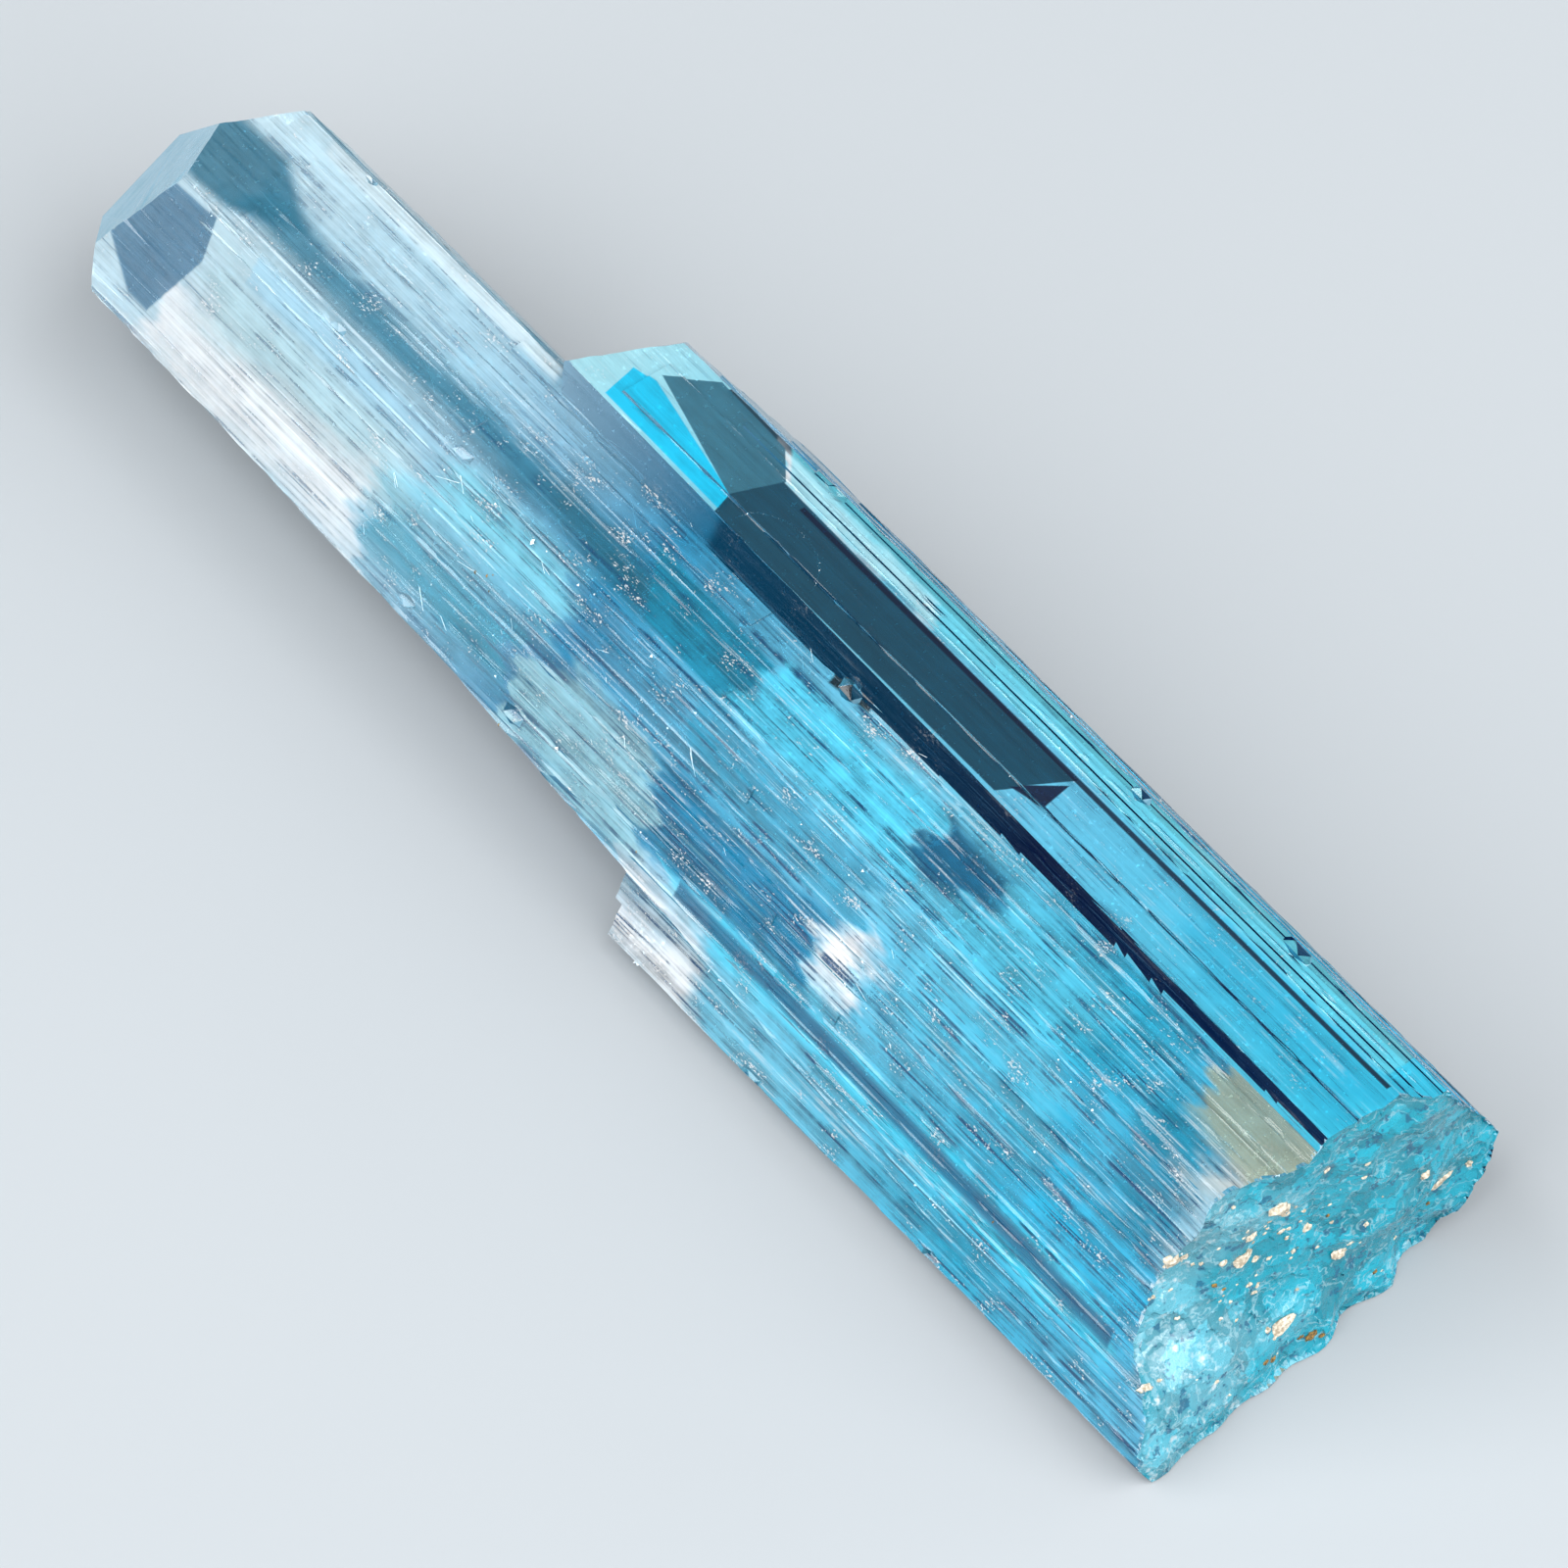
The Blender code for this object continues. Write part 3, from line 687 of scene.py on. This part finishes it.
def piece(bm, name, material):
    """Makes an object of a mesh in millimetres, which moves with the crystal."""
    bmesh.ops.scale(bm, vec=(MM,) * 3, verts=bm.verts)
    bm.normal_update()
    mesh = bpy.data.meshes.new(name)
    bm.to_mesh(mesh)
    bm.free()
    mesh.materials.append(material)
    made = bpy.data.objects.new(name, mesh)
    bpy.context.scene.collection.objects.link(made)
    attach(made, "root")
    print(name, "has", len(mesh.polygons), "faces")


def turned(draw):
    """A turn in any direction."""
    axis = Vector((draw.gauss(0, 1), draw.gauss(0, 1), draw.gauss(0, 1))).normalized()
    return Matrix.Rotation(draw.uniform(0, 2 * math.pi), 3, axis)


# %% [markdown]
# ## A finish for small pieces
# Inclusions and grains are too small to show more than two shades in grains of their own size, with the
# roughness and a bump from the same grains.


# %% the finish
def grained(name, pale, dark, grain, roughness, relief=0.3):
    """A dull material in two shades, with grains of a size in mm."""
    material = bpy.data.materials.new(name)
    material.use_nodes = True
    tree = material.node_tree
    shader = tree.nodes["Principled BSDF"]
    place = add(tree, "TexCoord", "Object")
    scaled = add(tree, "VectorMath", operation="SCALE", Vector=place, Scale=1 / MM / grain)
    spots = add(tree, "TexNoise", Vector=scaled, Scale=1.0, Detail=3.0, Roughness=0.6)
    share = add(tree, "MapRange", Value=spots, From_Min=0.38, From_Max=0.62)
    colour = add(tree, "Mix", 2, data_type="RGBA", i0=share, i6=srgb(dark), i7=srgb(pale))
    low, high = roughness * 0.7, roughness * 1.3
    dull = add(tree, "MapRange", Value=spots, From_Min=0.3, From_Max=0.7, To_Min=low, To_Max=high)
    bump = add(tree, "Bump", Strength=relief, Distance=grain * 0.2 * MM, Height=spots)
    for made, name in ((colour, "Base Color"), (dull, "Roughness"), (bump, "Normal")):
        tree.links.new(made, shader.inputs[name])
    return material


# %% [markdown]
# ## Healed fractures
# A crack that heals while the crystal grows traps a sheet of tiny cavities, which glitters white. Here each
# one is a flat splinter, turned at random under the face: dense clusters make the white blotches, chains of
# them the fine cracks, and one chain the half-moon crack in the side prism.


# %% one splinter
def shard(bm, centre, size, draw):
    """A flat closed splinter with uneven corners."""
    turn, ring, flat = turned(draw), draw.choice((4, 5, 6)), Vector((0, 0, 0.01))
    tops, bottoms = [], []
    for corner in range(ring):
        angle = 2 * math.pi * (corner + draw.uniform(-0.3, 0.3)) / ring
        reach = size * draw.uniform(0.5, 1.0)
        edge = Vector((math.cos(angle) * reach, math.sin(angle) * reach * draw.uniform(0.5, 1.0), 0))
        tops.append(bm.verts.new(centre + turn @ (edge + flat)))
        bottoms.append(bm.verts.new(centre + turn @ (edge * 0.9 - flat)))
    bm.faces.new(tops)
    bm.faces.new(bottoms[::-1])
    for corner in range(ring):
        after = (corner + 1) % ring
        bm.faces.new((tops[after], tops[corner], bottoms[corner], bottoms[after]))


def shard_below(bm, x, y, deep, size, draw):
    """A splinter under the upper side, deep enough to stay inside the stone."""
    place, _ = on_top(x, y)
    if place is not None:
        shard(bm, place - Vector((0, 0, 0.02 + size + deep)), size, draw)


# %% clusters of splinters
# each row: middle X and Y, half width, half length, depth under the face, how many, size of a splinter
CLUSTERS = (
    (-5.35, -11.3, 0.42, 0.75, 0.5, 150, 0.16), (-5.9, -11.0, 0.55, 0.35, 0.3, 40, 0.09),
    (-5.0, -12.6, 0.6, 0.4, 0.4, 50, 0.09), (-1.4, -10.95, 0.42, 0.16, 0.3, 45, 0.13),
    (-3.65, 12.3, 0.22, 0.3, 0.15, 26, 0.11), (-3.55, 19.0, 0.2, 0.16, 0.15, 14, 0.1),
    (-5.55, 13.2, 0.16, 0.55, 0.2, 40, 0.12), (-5.6, 7.2, 0.22, 1.5, 0.2, 60, 0.12),
    (-5.2, 6.4, 0.3, 0.7, 0.3, 30, 0.12), (-4.7, 0.6, 0.14, 0.12, 0.1, 12, 0.09),
    (-6.0, -0.3, 0.08, 0.35, 0.1, 10, 0.1), (-4.7, -0.9, 0.22, 0.18, 0.1, 16, 0.1),
    (-2.6, -22.1, 0.38, 0.3, 0.3, 42, 0.11), (-4.9, -21.3, 0.3, 0.1, 0.2, 18, 0.1),
    (-6.2, -20.8, 0.3, 0.5, 0.3, 22, 0.08), (-5.8, -23.0, 0.7, 1.2, 0.4, 60, 0.07),
    (-3.6, -6.7, 0.1, 0.16, 0.1, 7, 0.11), (-6.1, -26.9, 0.7, 1.2, 0.3, 50, 0.08),
    (-3.9, 23.0, 0.2, 0.3, 0.2, 12, 0.07), (-5.9, 20.4, 0.1, 0.16, 0.1, 8, 0.09),
    (4.2, 10.0, 0.2, 0.8, 0.2, 20, 0.12), (3.85, 0.6, 0.1, 1.7, 0.15, 44, 0.13),
    (3.9, -3.2, 0.12, 0.35, 0.12, 10, 0.1), (-7.5, -3.2, 0.35, 1.3, 0.3, 80, 0.17),
    (-7.6, -6.5, 0.3, 2.0, 0.3, 40, 0.1), (-7.4, -12.8, 0.1, 0.4, 0.15, 14, 0.1),
    (-7.5, -18.5, 0.15, 1.0, 0.15, 18, 0.1), (-1.0, -28.0, 0.9, 0.3, 0.4, 60, 0.11),
    (-5.3, -28.3, 0.9, 0.3, 0.4, 60, 0.11), (3.9, -28.2, 0.4, 0.3, 0.3, 30, 0.11),
)
draw = random.Random(21)
bm = bmesh.new()
for x, y, wide, long, deep, count, size in CLUSTERS:
    for _ in range(count):
        far = 1 - draw.random() ** 1.5
        angle = draw.uniform(0, 2 * math.pi)
        across, along = wide * far * math.cos(angle), long * far * math.sin(angle)
        shard_below(bm, x + across, y + along, deep * draw.random(), size * draw.uniform(0.35, 1.0), draw)
print("splinters in clusters:", sum(row[5] for row in CLUSTERS))


# %% cracks as chains of splinters
def along(points, step):
    """Places every step along a line of points."""
    for (x0, y0), (x1, y1) in zip(points, points[1:]):
        count = max(1, round(math.hypot(x1 - x0, y1 - y0) / step))
        for number in range(count):
            share = number / count
            yield x0 + (x1 - x0) * share, y0 + (y1 - y0) * share


# each row: how far the splinters stray, their size, the line that they follow
CRACKS = (
    (0.06, 0.10, ((-5.4, -13.5), (-4.6, -13.9), (-3.6, -14.0), (-2.4, -14.1), (-0.8, -13.7))),
    (0.10, 0.07, ((-3.2, 2.3), (-2.6, 2.9), (-1.9, 3.5), (-1.0, 4.4))),
    (0.16, 0.06, ((-3.2, 3.6), (-2.6, 4.0), (-1.9, 4.6))),
    (0.05, 0.05, ((-5.0, -0.9), (-4.4, 0.2), (-3.4, 1.3))),
    (0.03, 0.04, ((-6.3, 10.4), (-5.6, 10.1), (-4.9, 9.6))),
)
for stray, size, points in CRACKS:
    for x, y in along(points, 0.035):
        x, y = x + draw.gauss(0, stray * 0.5), y + draw.gauss(0, stray)
        shard_below(bm, x, y, 0.1 * draw.random(), size * draw.uniform(0.4, 1.2), draw)

# %% the half-moon crack
# it lies just under the face, where the dark window behind it lets it show only faintly
MOON_SPLINTERS = 170
MOON_X, MOON_Y, MOON_WIDE, MOON_LONG = 1.02, 1.1, 1.45, 2.0
for number in range(MOON_SPLINTERS):
    angle = math.radians(82 - 165 * number / (MOON_SPLINTERS - 1))
    wide = MOON_WIDE * (1 + draw.gauss(0, 0.016))
    x, y = MOON_X + wide * math.cos(angle), MOON_Y + MOON_LONG * math.sin(angle)
    place, _ = on_top(x, y)
    shard(bm, place - Vector((0, 0, 0.015 + 0.03 * draw.random())), draw.uniform(0.02, 0.045), draw)
piece(bm, "healed_fractures", grained("healed fracture, white", "#FFFFFF", "#CFEAF5", 0.15, 0.35))

# %% [markdown]
# ## Growth tubes
# Thin hollow tubes in beryl run nearly along the prism and show as pale hairs. Each one is a three-sided
# needle, thickest in the middle and slightly bowed.

# %% needles
TUBES = 110
THREE_SIDES = ((1, 0), (-0.5, 0.87), (-0.5, -0.87))
draw = random.Random(8)
bm = bmesh.new()
for _ in range(TUBES):
    x, y = draw.uniform(-6.0, 0.8), draw.triangular(-16.0, 22.0, 2.0)
    start = on_top(x, y)[0] - Vector((0, 0, 0.15 + 0.5 * draw.random()))
    length = draw.uniform(0.5, 2.8)
    lean = draw.choice((1, 1, -1)) * draw.uniform(0.05, 0.60)
    way = Vector((lean, 1.0, draw.uniform(-0.2, 0.0))).normalized()
    thick = draw.uniform(0.010, 0.020)
    side = way.cross(Vector((0, 0, 1))).normalized() * thick
    up = side.cross(way).normalized() * thick
    rings = []
    for at, wide in ((-0.5, 0.3), (0.0, 1.0), (0.5, 0.3)):
        middle = start + way * length * at + Vector((0.06 * math.sin(at * 3), 0, 0))
        rings.append([bm.verts.new(middle + (side * c + up * s) * wide) for c, s in THREE_SIDES])
    for a, b in zip(rings, rings[1:]):
        for corner in range(3):
            after = (corner + 1) % 3
            bm.faces.new((a[corner], a[after], b[after], b[corner]))
    bm.faces.new(rings[0][::-1])
    bm.faces.new(rings[-1])
piece(bm, "growth_tubes", grained("hollow growth tube", "#F4FCFF", "#BFE4F2", 0.2, 0.3))

# %% [markdown]
# ## Pinpoints
# Single fluid drops are scattered all through the stone and glint as white points. A drop a few hundredths of
# a millimetre wide needs no more than four corners. The clear windows of the side prism hold fewer.

# %% pinpoints
DROPS = 4200
FOUR_CORNERS = ((1, 1, 1), (1, -1, -1), (-1, 1, -1), (-1, -1, 1))
draw = random.Random(5)
bm = bmesh.new()
for _ in range(DROPS):
    in_side = draw.random() < 0.25
    x = draw.uniform(1.0, 4.4) if in_side else draw.uniform(-7.0, 1.2)
    y = draw.uniform(-28.0, 11.0 if in_side else 27.0)
    if in_side and 1.0 < x < 3.2 and -12 < y < 10 and draw.random() < 0.7:
        continue
    place, normal = on_top(x, y)
    if place is None or normal.z < 0.3:
        continue
    place = place - normal * (0.10 + 0.4 * draw.random() ** 2)
    size, turn = 0.022 + 0.04 * draw.random() ** 3, turned(draw)
    tips = [bm.verts.new(place + turn @ (Vector(corner) * size)) for corner in FOUR_CORNERS]
    for ring in ((0, 1, 2), (0, 3, 1), (0, 2, 3), (1, 3, 2)):
        bm.faces.new([tips[corner] for corner in ring])
bmesh.ops.recalc_face_normals(bm, faces=bm.faces[:])
piece(bm, "pinpoint_inclusions", grained("fluid pinpoints", "#FFFFFF", "#D8F0F8", 0.3, 0.3))

# %% [markdown]
# ## Grains of the old rock
# The group grew in a coarse granite, and grains of its feldspar, weathered to a warm cream, still cling to
# the break. A few brown ones are limonite, the earthy rust that also marks some spots on the faces.


# %% one grain
def grain(bm, centre, size, long, draw):
    """A lumpy stone, long across the break and flat against it."""
    made = bmesh.ops.create_icosphere(bm, subdivisions=2, radius=1.0)["verts"]
    seed, turn = draw.uniform(0, 90), Matrix.Rotation(draw.uniform(-0.5, 0.5), 3, "Y")
    for vert in made:
        broad = noise.noise(vert.co * 1.7 + Vector((seed, 0, 0)))
        fine = noise.noise(vert.co * 4 + Vector((0, seed, 0)))
        shape = Vector((vert.co.x * long, vert.co.y * 0.7, vert.co.z)) * size
        vert.co = centre + turn @ shape * (1 + 0.55 * broad + 0.25 * fine)


# %% feldspar
# each row: X and Z on the break, size, length over width
FELDSPAR = (
    (-5.58, 7.6, 0.24, 1.3), (-1.08, 7.6, 0.3, 1.4), (-2.42, 5.7, 0.28, 1.8), (0.18, 5.42, 0.2, 1.0),
    (-1.22, 2.0, 0.26, 2.2), (1.42, 3.37, 0.24, 1.3), (4.54, 5.4, 0.18, 1.0), (5.83, 3.3, 0.2, 2.2),
    (-7.0, 3.44, 0.18, 1.6), (-0.9, 7.2, 0.2, 1.1), (-2.0, 6.6, 0.16, 1.5), (-3.2, 6.2, 0.13, 1.2),
    (-1.8, 5.2, 0.14, 1.2), (-4.4, 6.9, 0.16, 1.2), (-0.4, 4.7, 0.1, 1.0), (2.2, 4.6, 0.1, 1.0),
    (7.0, 3.4, 0.14, 1.0), (-1.8, 2.2, 0.13, 1.0),
)
CRUMBS = 60  # small grains around the large ones
draw = random.Random(3)
bm = bmesh.new()
for x, z, size, long in FELDSPAR:
    grain(bm, on_break(x, z) + Vector((0, size * 0.15, 0)), size, long, draw)
for _ in range(CRUMBS):
    x, z = draw.gauss(-1.5, 2.6), draw.gauss(5.4, 1.9)
    if -7.5 < x < 7 and 0.6 < z < 9.0:
        size = draw.uniform(0.03, 0.09)
        grain(bm, on_break(x, z) + Vector((0, size * 0.2, 0)), size, draw.uniform(1, 2), draw)
piece(bm, "feldspar_grains", grained("weathered feldspar", "#C8BFAE", "#887C68", 0.12, 0.6, 0.6))

# %% limonite
LIMONITE_ON_BREAK = (
    (-0.1, 0.7, 0.20), (-0.5, 0.9, 0.13), (0.3, 0.5, 0.12), (-2.2, 1.2, 0.10), (5.4, 2.4, 0.08),
    (-3.6, 5.4, 0.09), (-3.2, 4.9, 0.07), (0.9, 5.7, 0.07), (-1.8, 0.9, 0.12), (3.0, 1.0, 0.09),
)
LIMONITE_ON_FACES = (
    (-5.15, 8.8, 0.07), (-5.05, 8.3, 0.09), (-5.2, 8.0, 0.06), (-4.95, 8.1, 0.05),
    (-6.75, -1.9, 0.07), (-6.9, 5.3, 0.06), (-6.9, -20.9, 0.07), (-1.2, -23.3, 0.05),
)
bm = bmesh.new()
for x, z, size in LIMONITE_ON_BREAK:
    grain(bm, on_break(x, z) + Vector((0, size * 0.2, 0)), size, 1.3, draw)
for x, y, size in LIMONITE_ON_FACES:
    place, normal = on_top(x, y)
    grain(bm, place - normal * size * 0.75, size, 1.0, draw)
piece(bm, "iron_stain_grains", grained("limonite, earthy", "#8A6A30", "#2E2410", 0.08, 0.8, 0.6))
